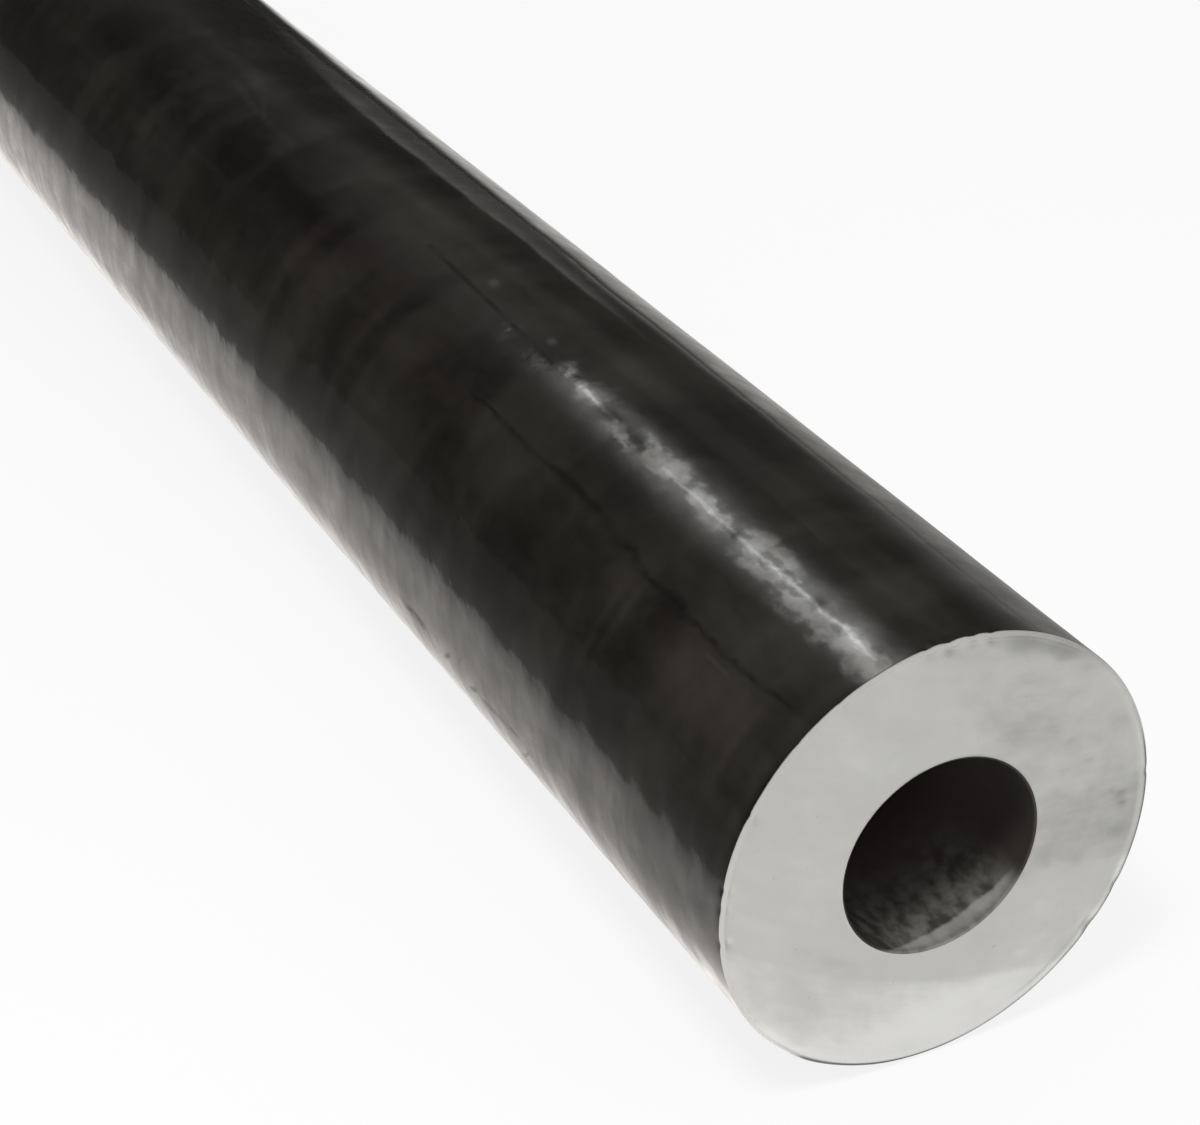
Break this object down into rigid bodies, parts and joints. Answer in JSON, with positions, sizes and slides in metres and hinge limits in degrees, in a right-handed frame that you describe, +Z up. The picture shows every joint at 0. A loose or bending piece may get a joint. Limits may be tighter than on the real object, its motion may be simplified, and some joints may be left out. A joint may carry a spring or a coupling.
{
  "type": "heavy-wall round steel tube",
  "caption": "Length of heavy-wall round seamless steel tube with square sawn ends, broken edges and a dark oiled mill scale skin.",
  "frame": {"origin": "on the lowest line of the skin, halfway along the tube, where it touches the floor", "axes": "+X along the tube's axis, towards the sawn end that is looked at; +Z up; the tube lies on its side"},
  "size_m": [1, 0.108, 0.108],
  "materials": {
    "steel": "dark oiled mill scale on the skin and in the bore, bare sawn steel on both ends"
  },
  "bodies": {
    "root": {"tube": "steel"}
  },
  "joints": []
}
